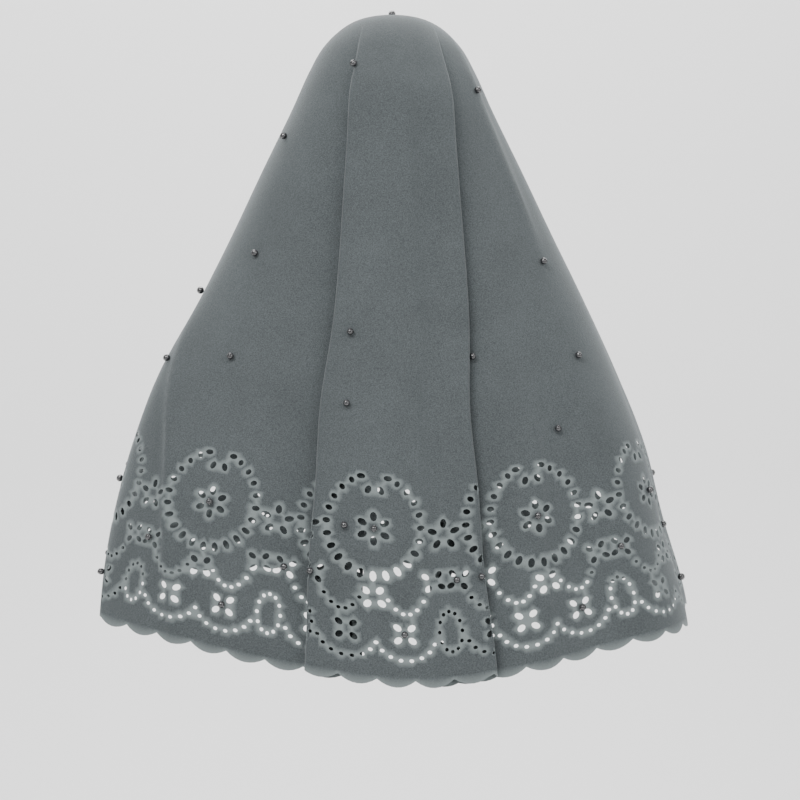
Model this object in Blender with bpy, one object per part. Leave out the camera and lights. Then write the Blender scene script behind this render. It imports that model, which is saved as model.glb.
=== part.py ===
# Lace headscarf: a long pull-on veil of crepe with a border of cut flowers and sewn beads.
# The wearer faces -Y and +Z is up. The origin is the inside of the crown, where the head carries the cloth.
# Left and right are the wearer's: left is +X and right is -X.

import math

import bmesh
import bpy
import numpy as np
from mathutils import Vector
from mathutils.bvhtree import BVHTree
from mathutils.geometry import delaunay_2d_cdt

# Sizes of the worn cloth, in metres
HEIGHT = 0.700          # from the crown down to the hem at the back
HALF_WIDTH = 0.310      # from the middle to each side at the hem
BACK_DEPTH = 0.190      # from the crown's axis to the back of the hem
FRONT_DEPTH = 0.180     # from the crown's axis to the front of the hem
CLOTH_LENGTH = 0.775    # along the cloth from the crown to the hem at the back
CLOTH_THICKNESS = 0.001

# Sizes of the pleats
PLEAT_TURN = 0.0032     # radius of the cloth where a pleat turns under
PANEL_TUCK = 0.050      # how far the cloth runs back under each side of the back panel
SIDE_TUCK = 0.012       # the same at the small pleat near the left edge
PLEAT_OPENS = 4         # how soon a pleat turns right under: over one part in this many of its way
TUCK_LAG = 0.14         # share of its way before the cloth starts to run back
RIDGE_HEIGHT = 0.007    # of the sharp fold down the back panel
WAVE_HEIGHT = 0.005     # of the soft waves of the hem

# Sizes of the cut border
REPEATS = 13
REPEAT_WIDTH = 0.1315   # from one ring to the next, along the cloth
SCALLOPS_PER_REPEAT = 4
SCALLOP_DEPTH = 0.007
RING_ABOVE_HEM = 0.155  # from the hem up to the middle of a ring
RING_WIDTH = 0.088      # across the egg of holes, from middle to middle of them
RING_HEIGHT = 0.110
RING_SLOTS = 24         # places for a hole round one ring, the top one left plain
HOLE_LENGTH = 0.0085
HOLE_WIDTH = 0.0055

# Sizes of the face opening
FACE_WIDTH = 0.125
FACE_TOP = 0.130        # along the cloth from the crown
FACE_BOTTOM = 0.345

# Sizes of the beads
BEAD_DIAMETER = 0.007
SEAT_GAP = 0.0003       # left between a bead and the cloth that it is sewn to

# The form before pleats. Columns: way down the cloth, then shares of the named sizes: drop of
# HEIGHT, left and right of HALF_WIDTH, back of BACK_DEPTH, front of FRONT_DEPTH, and squareness.
SECTIONS = [
    (0.000, 0.000, 0.000, 0.000, 0.000, 0.000, 2.0),
    (0.072, 0.013, 0.150, 0.150, 0.290, 0.280, 2.0),
    (0.126, 0.050, 0.242, 0.242, 0.450, 0.450, 2.0),
    (0.165, 0.086, 0.287, 0.287, 0.520, 0.520, 2.1),
    (0.219, 0.143, 0.345, 0.345, 0.590, 0.570, 2.1),
    (0.297, 0.229, 0.439, 0.439, 0.630, 0.600, 2.2),
    (0.400, 0.343, 0.561, 0.561, 0.660, 0.650, 2.4),
    (0.479, 0.429, 0.660, 0.655, 0.700, 0.710, 2.7),
    (0.588, 0.549, 0.803, 0.774, 0.780, 0.820, 3.0),
    (0.690, 0.660, 0.887, 0.868, 0.850, 0.900, 3.3),
    (0.792, 0.771, 0.945, 0.926, 0.910, 0.950, 3.5),
    (0.897, 0.886, 1.000, 1.000, 0.960, 0.980, 3.6),
    (1.000, 1.000, 1.040, 1.040, 1.000, 1.000, 3.6),
]

# How far down the form the hem reaches. Columns: share round from the middle of the back,
# the right being positive, and share of the whole way down.
HEM_REACH = [
    (-0.50, 0.870),
    (-0.25, 0.905),
    (-0.14, 0.940),
    (-0.05, 0.982),
    (0.02, 1.000),
    (0.07, 0.985),
    (0.14, 0.950),
    (0.25, 0.920),
    (0.50, 0.870),
]

# The pleats, each of which turns the cloth under on its way out from the middle of the back.
# Columns: side, edge at the crown and at the hem as shares of HALF_WIDTH, tuck, way down where
# it starts, and the share of HALF_WIDTH over which the cloth comes back out behind it.
PLEATS = [
    (-1, 0.087, 0.290, PANEL_TUCK, 0.05, 0.0),
    (-1, 1.010, 1.060, SIDE_TUCK, 0.47, 0.4),
    (1, 0.148, 0.335, PANEL_TUCK, 0.05, 0.0),
]

# The raised folds. Columns: place at the crown and at the hem as shares of HALF_WIDTH, way down
# where the fold starts and ends, height as a share of RIDGE_HEIGHT, and its reach to the left
# and to the right as shares of HALF_WIDTH.
RIDGES = [
    (0.020, 0.135, 0.04, 1.10, 1.0, 0.160, 0.040),
    (0.180, 0.960, 0.06, 0.50, 0.7, 0.120, 0.060),
    (-0.820, -0.740, 0.50, 1.10, 0.8, 0.050, 0.090),
    (0.440, 0.510, 0.55, 1.10, 0.7, 0.060, 0.040),
]

# The hem's soft waves. Columns: waves in the whole round, phase as a share of one wave, and
# height as a share of WAVE_HEIGHT.
WAVES = [
    (11, 0.10, 1.0),
    (17, 0.45, 0.5),
]

# The beads strewn over the plain cloth. Columns: place across, as a share of HALF_WIDTH with
# the right positive, and way down.
STREWN_BEADS = [
    (-0.118, 0.180),
    (0.330, 0.215),
    (-0.440, 0.285),
    (-0.485, 0.455),
    (0.530, 0.465),
    (-0.800, 0.520),
    (-0.135, 0.545),
    (0.270, 0.575),
    (-0.535, 0.600),
    (0.650, 0.600),
    (-0.820, 0.620),
    (-0.130, 0.640),
    (0.570, 0.690),
]

# Where the cloth begins and ends, counted in repeats with a ring at each whole number.
# The seam lies halfway between two rings, and the middle of the back a little past the fourth ring.
BACK_MIDDLE = 3.107
SEAM_LEFT = -3.5
SEAM_RIGHT = SEAM_LEFT + REPEATS
RING_WAY = 1 - RING_ABOVE_HEM / CLOTH_LENGTH

# The small flower beside a ring, measured from the middle of the ring to the flower
SIDE_FLOWER_OUT = 0.426 * REPEAT_WIDTH
SIDE_FLOWER_DOWN = 0.46 * RING_HEIGHT

# How finely the form is worked out and meshed
FORM_ROWS = 100
FORM_STEPS = 360
CLOTH_ROWS = 19
ROW_CROWDING = 1.15     # above 1, rows lie closer together towards the crown
COLUMN_SPACING = 0.034
BEND_CLEARANCE = 0.009  # between a hole's middle and a pleat's bend
MESH_CLEARANCE = 0.008  # between one filling point and the points that are set already
TURN_STEPS = 3
SHOWN_BEND = 0.8        # a pleat's bends have their own points from this angle on, in radians
HOLE_SIDES = 6
SCALLOP_STEPS = 4
FACE_STEPS = 8
FAN_ANGLE = 2.6         # of the flat cloth in radians, for an even mesh
BEAD_SIDES = 10
BEAD_RINGS = 5


def smooth(places, values, wanted):
    """Read a table of values between its rows along a smooth curve."""
    places = np.asarray(places, float)
    values = np.asarray(values, float)
    slopes = np.gradient(values, places)
    row = np.clip(np.searchsorted(places, wanted) - 1, 0, len(places) - 2)
    step = places[row + 1] - places[row]
    share = np.clip((wanted - places[row]) / step, 0, 1)
    rest = 1 - share
    return (
        values[row] * (1 + 2 * share) * rest**2
        + values[row + 1] * (1 + 2 * rest) * share**2
        + step * slopes[row] * share * rest**2
        - step * slopes[row + 1] * rest * share**2
    )


def fade(value):
    """Go smoothly from 0 to 1 as the value does."""
    value = np.clip(value, 0, 1)
    return value * value * (3 - 2 * value)


def form_point(way, turn):
    """The form before pleats, at a way down and a direction round from the back."""
    rows = [list(row) for row in SECTIONS]
    mirrored = [-rows[1][0], rows[1][1]] + [-size for size in rows[1][2:6]] + [rows[1][6]]
    columns = list(zip(*([mirrored] + rows)))
    drop, left, right, back, front, square = [smooth(columns[0], column, way) for column in columns[1:]]
    wide = np.where(turn < 0, left, right) * HALF_WIDTH
    deep = np.where(np.cos(turn) > 0, back * BACK_DEPTH, front * FRONT_DEPTH)
    wide = np.maximum(wide, 1e-6)
    deep = np.maximum(deep, 1e-6)
    out = (np.abs(np.sin(turn)) / wide) ** square + (np.abs(np.cos(turn)) / deep) ** square
    out = out ** (-1 / square)
    return np.stack([-out * np.sin(turn), out * np.cos(turn), -HEIGHT * drop], axis=-1)


def shares_along(points):
    """How far along its path each point lies, as a share, and the path's length."""
    steps = np.linalg.norm(np.diff(points, axis=0), axis=1)
    along = np.concatenate([[0], np.cumsum(steps)])
    return along / along[-1], along[-1]


class Form:
    """The hung form before pleats, as rows of points evenly spaced round the cloth."""

    def __init__(self):
        turns = np.linspace(-math.pi, math.pi, 2 * FORM_STEPS + 1)
        round_shares, _ = shares_along(form_point(np.ones_like(turns), turns)[:, :2])
        reach_table = list(zip(*HEM_REACH))
        reach = smooth(reach_table[0], reach_table[1], round_shares - 0.5)
        wanted = np.linspace(0, 1, FORM_STEPS + 1)
        rows = []
        lengths = []
        for way in np.linspace(0, 1, FORM_ROWS + 1):
            row = form_point(way * reach + 1e-9, turns)
            shares, length = shares_along(row)
            rows.append(np.stack([np.interp(wanted, shares, row[:, axis]) for axis in range(3)], axis=-1))
            lengths.append(length)
        self.points = np.array(rows)
        self.lengths = np.array(lengths)
        around = np.gradient(self.points, axis=1)
        around[:, 0] = around[:, -1] = (self.points[:, 1] - self.points[:, -2]) / 2
        down = np.gradient(self.points, axis=0)
        normals = np.cross(down, around)
        normals[0] = (0, 0, 1)
        self.normals = normals / np.maximum(np.linalg.norm(normals, axis=-1, keepdims=True), 1e-12)

    def length(self, way):
        return np.interp(way * FORM_ROWS, np.arange(FORM_ROWS + 1), self.lengths)

    def read(self, grid, share, way):
        """Read a grid of the form between its points."""
        row = np.clip(way, 0, 1) * FORM_ROWS
        step = np.clip(share + 0.5, 0, 1) * FORM_STEPS
        r = np.minimum(row.astype(int), FORM_ROWS - 1)
        s = np.minimum(step.astype(int), FORM_STEPS - 1)
        fr = (row - r)[:, None]
        fs = (step - s)[:, None]
        upper = grid[r, s] * (1 - fs) + grid[r, s + 1] * fs
        lower = grid[r + 1, s] * (1 - fs) + grid[r + 1, s + 1] * fs
        return upper * (1 - fr) + lower * fr


class Pleat:
    """One pleat: the cloth turns under, runs back towards the middle, and turns out again."""

    def __init__(self, row):
        self.side, self.top_edge, self.hem_edge, self.tuck, self.start, self.comes_back = row

    def sizes(self, way):
        """Edge, turn radius, turn angle and run of the pleat at a way down the cloth."""
        open_share = np.clip((way - self.start) / (1 - self.start), 0, 1)
        edge = (self.top_edge + (self.hem_edge - self.top_edge) * way) * HALF_WIDTH
        angle = math.pi * fade(open_share * PLEAT_OPENS)
        radius = np.full_like(angle, PLEAT_TURN)
        run_share = np.clip((open_share - TUCK_LAG) / (1 - TUCK_LAG), 0, 1)
        run = self.tuck * (1 - (1 - run_share) ** 2)
        return edge, radius, angle, run

    def hidden(self, way):
        """Length of cloth that the pleat takes up, beyond the stretch that it covers."""
        _, radius, angle, run = self.sizes(way)
        used = 2 * radius * angle + run
        return used - (2 * radius * np.sin(angle) + run * np.cos(angle))

    def sink(self, way):
        """How far in the cloth lies behind the pleat."""
        _, radius, angle, run = self.sizes(way)
        return 2 * radius * (1 - np.cos(angle)) + run * np.sin(angle)

    def begins(self, way):
        """Place on the form where the cloth starts to turn under."""
        edge, radius, angle, _ = self.sizes(way)
        return edge - radius * np.sin(np.minimum(angle, math.pi / 2))

    def fold(self, past, way):
        """Shift along the form and sink into it, for cloth this far past the pleat's beginning."""
        _, radius, angle, run = self.sizes(way)
        turn = radius * angle
        first = np.clip(past, 0, turn)
        middle = np.clip(past - turn, 0, run)
        last = np.clip(past - turn - run, 0, turn)
        safe = np.maximum(radius, 1e-9)
        bent = first / safe
        unbent = angle - last / safe
        forward = radius * np.sin(bent) + middle * np.cos(angle) + radius * (np.sin(angle) - np.sin(unbent))
        sunk = radius * (1 - np.cos(bent)) + middle * np.sin(angle) + radius * (np.cos(unbent) - np.cos(angle))
        return forward - (first + middle + last), sunk


class Drape:
    """Where each place of the flat cloth lies once it is worn."""

    def __init__(self):
        self.form = Form()
        self.pleats = {side: [Pleat(row) for row in PLEATS if row[0] == side] for side in (-1, 1)}
        self.repeats = {-1: BACK_MIDDLE - SEAM_LEFT, 1: SEAM_RIGHT - BACK_MIDDLE}

    def half_length(self, side, way):
        """Length of the cloth from the middle of the back to the front seam."""
        return self.form.length(way) / 2 + sum(pleat.hidden(way) for pleat in self.pleats[side])

    def cloth_place(self, across, way):
        """The repeat that shows on the outside at this distance from the middle of the back."""
        side = 1 if across >= 0 else -1
        way = np.asarray(float(way))
        out = abs(across)
        out += sum(float(pleat.hidden(way)) for pleat in self.pleats[side] if pleat.sizes(way)[0] < abs(across))
        return BACK_MIDDLE + side * out * self.repeats[side] / float(self.half_length(side, way))

    def turns(self, side, way):
        """Distances along the cloth at which the pleats of one side bend it."""
        taken = 0
        places = []
        for pleat in self.pleats[side]:
            _, radius, angle, run = (float(size) for size in pleat.sizes(np.asarray(float(way))))
            begin = float(pleat.begins(np.asarray(float(way)))) + taken
            turn = radius * angle
            places += [begin + turn * step / TURN_STEPS for step in range(TURN_STEPS + 1)]
            places += [begin + turn + run + turn * step / TURN_STEPS for step in range(TURN_STEPS + 1)]
            taken += float(pleat.hidden(np.asarray(float(way))))
        return places

    def lift(self, across, way):
        """Height of the ridges and waves over the form."""
        total = np.zeros_like(across)
        for top, hem, start, end, height, left, right in RIDGES:
            middle = (top + (hem - top) * way) * HALF_WIDTH
            reach = np.where(across < middle, left, right) * HALF_WIDTH
            strength = fade((way - start) / 0.2) * fade((end - way) / 0.15)
            total += RIDGE_HEIGHT * height * strength * np.clip(1 - np.abs(across - middle) / reach, 0, 1) ** 2
        share = across / self.form.length(way)
        for waves, phase, height in WAVES:
            swing = np.cos(2 * math.pi * (waves * share + phase))
            total += WAVE_HEIGHT * height * fade((way - 0.35) / 0.65) * swing
        return total

    def place(self, repeat, way):
        """The worn place of the flat cloth's points, given in repeats and way down."""
        repeat = np.asarray(repeat, float)
        way = np.asarray(way, float)
        across = np.zeros_like(repeat)
        raised = np.zeros_like(repeat)
        for side in (-1, 1):
            here = (repeat >= BACK_MIDDLE) if side > 0 else (repeat < BACK_MIDDLE)
            down = way[here]
            cloth = np.abs(repeat[here] - BACK_MIDDLE) * self.half_length(side, down) / self.repeats[side]
            out = cloth.copy()
            height = self.pleats[side][0].sink(down)
            taken = np.zeros_like(down)
            for pleat in self.pleats[side]:
                past = cloth - pleat.begins(down) - taken
                shift, sunk = pleat.fold(past, down)
                out += shift
                height -= sunk
                if pleat.comes_back:
                    behind = past - pleat.hidden(down)
                    height += pleat.sink(down) * fade(behind / (pleat.comes_back * HALF_WIDTH))
                taken += pleat.hidden(down)
            across[here] = side * out
            raised[here] = height
        raised += self.lift(across, way)
        share = across / np.maximum(self.form.length(way), 1e-9)
        points = self.form.read(self.form.points, share, way)
        normals = self.form.read(self.form.normals, share, way)
        settled = fade(way / 0.06)[:, None]
        return points + normals * raised[:, None] * settled


def flat(repeat, way):
    """The flat cloth spread like a fan, as a place on a plane."""
    angle = (repeat - BACK_MIDDLE) / REPEATS * FAN_ANGLE
    return (way * CLOTH_LENGTH * math.sin(angle), way * CLOTH_LENGTH * math.cos(angle))


def unflat(x, y):
    """The repeat and way down of a place on the spread cloth."""
    way = math.hypot(x, y) / CLOTH_LENGTH
    angle = math.atan2(x, y) if way > 1e-9 else 0
    return BACK_MIDDLE + angle / FAN_ANGLE * REPEATS, way


def ring_holes():
    """Every third hole of the rings, each as a middle, a direction and its repeat."""
    holes = []
    for repeat in range(math.ceil(SEAM_LEFT), math.ceil(SEAM_RIGHT)):
        for slot in range(1, RING_SLOTS, 3):
            angle = 2 * math.pi * slot / RING_SLOTS
            out = RING_WIDTH / 2 * math.sin(angle) * (1 - 0.12 * math.cos(angle))
            down = -RING_HEIGHT / 2 * math.cos(angle)
            holes.append((repeat, out, down, angle))
    return holes


def hole_middle(hole):
    """The middle of one hole, in repeats and ways down."""
    repeat, out, down, _ = hole
    return repeat + out / REPEAT_WIDTH, RING_WAY + down / CLOTH_LENGTH


def hole_outline(hole):
    """The corners of one hole, in repeats and ways down."""
    repeat, out, down, angle = hole
    corners = []
    for corner in range(HOLE_SIDES):
        turn = 2 * math.pi * corner / HOLE_SIDES
        along = HOLE_LENGTH / 2 * math.cos(turn)
        wide = HOLE_WIDTH / 2 * math.sin(turn)
        x = out + along * math.sin(angle) + wide * math.cos(angle)
        y = down - along * math.cos(angle) + wide * math.sin(angle)
        corners.append((repeat + x / REPEAT_WIDTH, RING_WAY + y / CLOTH_LENGTH))
    return corners


def face_edge(drape, side):
    """One half of the face opening's edge, from its top to its bottom."""
    top = FACE_TOP / CLOTH_LENGTH
    bottom = FACE_BOTTOM / CLOTH_LENGTH
    seam = SEAM_RIGHT if side > 0 else SEAM_LEFT
    edge = []
    for step in range(FACE_STEPS + 1):
        angle = math.pi * step / FACE_STEPS
        way = (top + bottom) / 2 - (bottom - top) / 2 * math.cos(angle)
        size = FACE_WIDTH / 2 * math.sin(angle)
        repeats = size * drape.repeats[side] / float(drape.half_length(side, np.asarray(way)))
        edge.append((seam - side * repeats, way))
    return edge


def row_ways():
    """The rows of the mesh, from just below the crown to just above the scallops."""
    last = 1 - 2 * SCALLOP_DEPTH / CLOTH_LENGTH
    return [last * (row / CLOTH_ROWS) ** ROW_CROWDING for row in range(1, CLOTH_ROWS + 1)]


def outline(drape):
    """The edge of the flat cloth, round from the crown and back."""
    def seam(side):
        where = SEAM_RIGHT if side > 0 else SEAM_LEFT
        edge = face_edge(drape, side)
        above = [(where, way) for way in row_ways() if way < edge[0][1] - 0.02]
        below = [(where, way) for way in row_ways() if way > edge[-1][1] + 0.02]
        return above + edge + below

    bends = [bend for side in (-1, 1) for bend in bend_repeats(drape, side, 1.0)]
    steps = REPEATS * SCALLOPS_PER_REPEAT * SCALLOP_STEPS
    evenly = [SEAM_RIGHT - step / SCALLOP_STEPS / SCALLOPS_PER_REPEAT for step in range(steps + 1)]
    near = 0.25 / SCALLOP_STEPS / SCALLOPS_PER_REPEAT
    evenly = [repeat for repeat in evenly if all(abs(repeat - bend) > near for bend in bends)]
    hem = [(repeat, hem_way(repeat)) for repeat in sorted(evenly + bends, reverse=True)]
    return [(BACK_MIDDLE, 0.0)] + seam(1) + hem + seam(-1)[::-1]


def hem_way(repeat):
    """Way down of the scalloped edge, which is lowest in the middle of each scallop."""
    scallop = (repeat - SEAM_LEFT) * SCALLOPS_PER_REPEAT
    off_middle = 2 * abs(scallop - math.floor(scallop) - 0.5)
    return 1 - SCALLOP_DEPTH / CLOTH_LENGTH * off_middle**2


def bend_repeats(drape, side, way):
    """The places along a row of the flat cloth where the pleats of one side bend it."""
    length = float(drape.half_length(side, np.asarray(way)))
    return [BACK_MIDDLE + side * place / length * drape.repeats[side] for place in drape.turns(side, way)]


def inner_lines(drape):
    """Lines of points inside the cloth that follow the pleats and ridges down it."""
    lines = []
    for side in (-1, 1):
        for index in range(len(drape.pleats[side]) * 2 * (TURN_STEPS + 1)):
            pleat = drape.pleats[side][index // (2 * (TURN_STEPS + 1))]
            shown = [way for way in row_ways() if float(pleat.sizes(np.asarray(way))[2]) > SHOWN_BEND]
            lines.append([(bend_repeats(drape, side, way)[index], way) for way in shown])
    for top, hem, first, last, *_ in RIDGES:
        line = []
        for way in row_ways():
            if first + 0.04 <= way <= last:
                across = (top + (hem - top) * way) * HALF_WIDTH
                line.append((drape.cloth_place(across, way), way))
        lines.append(line)
    return lines


def fill_points(drape, lines, kept_clear):
    """Points between the lines, evenly spaced along each row."""
    points = []
    for way in row_ways()[:-1]:
        length = float(drape.half_length(-1, np.asarray(way)) + drape.half_length(1, np.asarray(way)))
        places = [SEAM_LEFT, SEAM_RIGHT] + [p[0] for line in lines for p in line if p[1] == way]
        places.sort()
        for first, last in zip(places, places[1:]):
            gap = (last - first) / REPEATS * length
            count = round(gap / COLUMN_SPACING)
            for step in range(1, count):
                points.append((first + (last - first) * step / count, way))
    return [point for point in points if far_from(point, kept_clear, MESH_CLEARANCE)]


def between(line):
    """The points of a line with more points between them."""
    dense = []
    for first, last in zip(line, line[1:]):
        for step in range(8):
            dense.append(tuple(a + (b - a) * step / 8 for a, b in zip(first, last)))
    return dense


def far_from(point, others, distance):
    """Whether a point lies further than this from the others on the flat cloth."""
    x, y = flat(*point)
    return all((x - ox) ** 2 + (y - oy) ** 2 > distance**2 for ox, oy in others)


def in_face(drape, point):
    """Whether a point lies in the face opening or close to its edge."""
    repeat, way = point
    side = 1 if repeat > BACK_MIDDLE else -1
    seam = SEAM_RIGHT if side > 0 else SEAM_LEFT
    to_seam = abs(seam - repeat) / drape.repeats[side] * float(drape.half_length(side, np.asarray(way)))
    middle = (FACE_TOP + FACE_BOTTOM) / 2 / CLOTH_LENGTH
    half = (FACE_BOTTOM - FACE_TOP) / 2 / CLOTH_LENGTH
    return (to_seam / (FACE_WIDTH / 2 + 0.012)) ** 2 + ((way - middle) / (half + 0.015)) ** 2 < 1


def bead_places(drape):
    """Name and place on the cloth of every bead."""
    beads = [("crown_bead", BACK_MIDDLE, 0.0)]
    rings = range(math.ceil(SEAM_LEFT), math.ceil(SEAM_RIGHT))
    for number, repeat in enumerate(rings):
        beads.append((f"ring_bead_{number:02d}", repeat, RING_WAY))
    for number, repeat in enumerate(rings):
        place = repeat - SIDE_FLOWER_OUT / REPEAT_WIDTH
        beads.append((f"side_flower_bead_{number:02d}", place, RING_WAY + SIDE_FLOWER_DOWN / CLOTH_LENGTH))
    for number, (across, way) in enumerate(STREWN_BEADS):
        beads.append((f"strewn_bead_{number:02d}", drape.cloth_place(across * HALF_WIDTH, way), way))
    return beads


def mesh_flat_cloth(drape):
    """Triangles of the flat cloth, with its holes left out, as repeats, ways and faces."""
    edge = outline(drape)
    lines = inner_lines(drape)
    bends = [flat(*point) for line in lines for point in between(line)]
    holes = [hole for hole in ring_holes() if far_from(hole_middle(hole), bends, BEND_CLEARANCE)]
    holes = [hole_outline(hole) for hole in holes]
    beads = [(repeat, way) for name, repeat, way in bead_places(drape) if way > 0]
    points = list(edge)
    for hole in holes:
        points += hole
    fixed = [flat(*point) for point in points] + [flat(*bead) for bead in beads]
    edges = []
    for line in lines:
        first = len(points)
        points += line
        edges += [(first + step, first + step + 1) for step in range(len(line) - 1)]
    kept_clear = fixed + [flat(*point) for line in lines for point in line]
    points += [bead for bead in beads]
    points += [point for point in fill_points(drape, lines, kept_clear) if not in_face(drape, point)]
    faces = [list(range(len(edge)))]
    first = len(edge)
    for hole in holes:
        faces.append(list(range(first, first + len(hole))))
        first += len(hole)
    flats = [Vector(flat(*point)) for point in points]
    corners, _, triangles, _, _, inside = delaunay_2d_cdt(flats, edges, faces, 0, 1e-6)
    kept = [triangle for triangle, owners in zip(triangles, inside) if set(owners) == {0}]
    places = [unflat(corner.x, corner.y) for corner in corners]
    return places, kept


def material(name, colour, roughness, metallic=0.0):
    """A plain Principled material."""
    made = bpy.data.materials.new(name)
    made.use_nodes = True
    shader = made.node_tree.nodes["Principled BSDF"]
    shader.inputs["Base Color"].default_value = (*colour, 1)
    shader.inputs["Roughness"].default_value = roughness
    shader.inputs["Metallic"].default_value = metallic
    made.diffuse_color = (*colour, 1)
    return made


def add_object(name, mesh, look):
    """Put a mesh in the scene under its node's name."""
    mesh.materials.append(look)
    made = bpy.data.objects.new(name, mesh)
    bpy.context.scene.collection.objects.link(made)
    return made


def make_cloth(drape):
    """The whole veil as one wall of cloth, and a tree of its middle surface for the beads."""
    places, triangles = mesh_flat_cloth(drape)
    repeats = np.array([place[0] for place in places])
    ways = np.array([place[1] for place in places])
    worn = drape.place(repeats, ways)
    shape = bmesh.new()
    corners = [shape.verts.new(point) for point in worn]
    for triangle in triangles:
        shape.faces.new([corners[index] for index in triangle])
    bmesh.ops.delete(shape, geom=[corner for corner in shape.verts if not corner.link_faces], context="VERTS")
    bmesh.ops.remove_doubles(shape, verts=shape.verts[:], dist=0.00002)
    bmesh.ops.recalc_face_normals(shape, faces=shape.faces[:])
    highest = max(shape.faces, key=lambda face: face.calc_center_median().z)
    if highest.normal.z < 0:
        bmesh.ops.reverse_faces(shape, faces=shape.faces[:])
    tree = BVHTree.FromBMesh(shape)
    mesh = bpy.data.meshes.new("scarf_cloth")
    shape.to_mesh(mesh)
    shape.free()
    mesh.shade_smooth()
    cloth = add_object("scarf_cloth", mesh, material("crepe", (0.045, 0.052, 0.055), 0.85))
    wall = cloth.modifiers.new("wall", "SOLIDIFY")
    wall.thickness = CLOTH_THICKNESS
    wall.offset = 0
    wall.use_even_offset = True
    return cloth, tree


def make_beads(drape, tree):
    """Every bead, seated on the outside of the cloth."""
    gloss = material("bead_gloss", (0.012, 0.012, 0.014), 0.12)
    radius = BEAD_DIAMETER / 2
    shape = bmesh.new()
    bmesh.ops.create_uvsphere(shape, u_segments=BEAD_SIDES, v_segments=BEAD_RINGS, radius=radius)
    mesh = bpy.data.meshes.new("bead")
    shape.to_mesh(mesh)
    shape.free()
    mesh.shade_smooth()
    mesh.materials.append(gloss)
    step = 0.004
    for name, repeat, way in bead_places(drape):
        near = [(0, 0), (step, 0), (0, step)]
        spots = drape.place(
            np.array([repeat + out / REPEAT_WIDTH for out, _ in near]),
            np.array([way + down / CLOTH_LENGTH for _, down in near]),
        )
        seat, beside, below = (Vector(spot) for spot in spots)
        out = (below - seat).cross(beside - seat)
        out = Vector((0, 0, 1)) if way == 0 else out.normalized()
        hit, _, _, _ = tree.ray_cast(seat + out * 0.02, -out, 0.04)
        bead = bpy.data.objects.new(name, mesh)
        bead.location = (hit or seat) + out * (CLOTH_THICKNESS / 2 + SEAT_GAP + radius)
        bead.rotation_mode = "QUATERNION"
        bead.rotation_quaternion = out.to_track_quat("Z", "Y")
        bpy.context.scene.collection.objects.link(bead)


def main():
    for leftover in list(bpy.data.objects):
        bpy.data.objects.remove(leftover, do_unlink=True)
    drape = Drape()
    _, tree = make_cloth(drape)
    make_beads(drape, tree)


main()
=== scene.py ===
# %% [markdown]
# # Lace headscarf
# A long pull-on veil of charcoal crepe, seen from behind as it is worn. Its border is cut through with
# rings of petals, small flowers and garlands, its hem is scalloped, and small black beads are sewn on.
# Each cell makes one part of it, and the cell before it says how that part is made on the real veil.

import math

import bmesh
import bpy
import numpy as np
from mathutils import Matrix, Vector
from mathutils.bvhtree import BVHTree
from mathutils.geometry import delaunay_2d_cdt
from mathutils.kdtree import KDTree


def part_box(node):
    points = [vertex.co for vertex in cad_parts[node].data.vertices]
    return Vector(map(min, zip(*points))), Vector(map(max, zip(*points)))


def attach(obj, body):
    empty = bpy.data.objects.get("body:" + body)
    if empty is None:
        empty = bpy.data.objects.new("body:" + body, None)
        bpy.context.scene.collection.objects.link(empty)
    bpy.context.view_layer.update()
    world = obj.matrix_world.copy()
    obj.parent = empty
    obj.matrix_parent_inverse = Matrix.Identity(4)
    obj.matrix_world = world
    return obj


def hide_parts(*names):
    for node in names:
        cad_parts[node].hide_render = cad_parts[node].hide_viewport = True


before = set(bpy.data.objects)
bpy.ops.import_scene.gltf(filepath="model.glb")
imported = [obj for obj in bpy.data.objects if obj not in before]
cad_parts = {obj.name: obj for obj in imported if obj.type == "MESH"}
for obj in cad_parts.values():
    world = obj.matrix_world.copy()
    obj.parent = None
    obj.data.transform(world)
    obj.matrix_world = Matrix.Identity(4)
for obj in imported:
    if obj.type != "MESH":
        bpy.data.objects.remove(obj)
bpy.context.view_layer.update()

# %% [markdown]
# ## Sizes
# The wearer faces -Y, and the origin is inside the crown, where the head carries the cloth. Every size is
# in metres. The veil is one piece of cloth, so a place on it is told by two numbers: the repeat of the
# border that it lies in, counted round the cloth, and the way down, which is 0 at the crown and 1 at the hem.

# %% Sizes of the worn cloth
HEIGHT = 0.700
HALF_WIDTH = 0.310
BACK_DEPTH = 0.190
FRONT_DEPTH = 0.180
CLOTH_LENGTH = 0.775
CLOTH_THICKNESS = 0.001

PLEAT_TURN = 0.0032
PANEL_TUCK = 0.050
SIDE_TUCK = 0.012
PLEAT_OPENS = 4
TUCK_LAG = 0.14
RIDGE_HEIGHT = 0.007
RIDGE_STARTS = 0.2
RIDGE_ENDS = 0.15
WAVE_HEIGHT = 0.005
WAVES_START = 0.35
CROWN_PLAIN = 0.06

REPEATS = 13
REPEAT_WIDTH = 0.1315
SCALLOPS_PER_REPEAT = 4
SCALLOP_DEPTH = 0.007
RING_ABOVE_HEM = 0.155
RING_WAY = 1 - RING_ABOVE_HEM / CLOTH_LENGTH

FACE_WIDTH = 0.125
FACE_TOP = 0.130
FACE_BOTTOM = 0.345

BACK_MIDDLE = 3.107
SEAM_LEFT = -3.5
SEAM_RIGHT = SEAM_LEFT + REPEATS

BEAD_DIAMETER = 0.007
SEAT_GAP = 0.0003

# %% [markdown]
# ## The hung form
# Cloth that hangs from a head is a dome on top, then a cone, and it widens over the shoulders into a
# rounded box. A few sections tell that form, each as shares of the sizes above, and a smooth curve is
# read between them. The hem doesn't hang level: it reaches lowest at the back.

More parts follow.
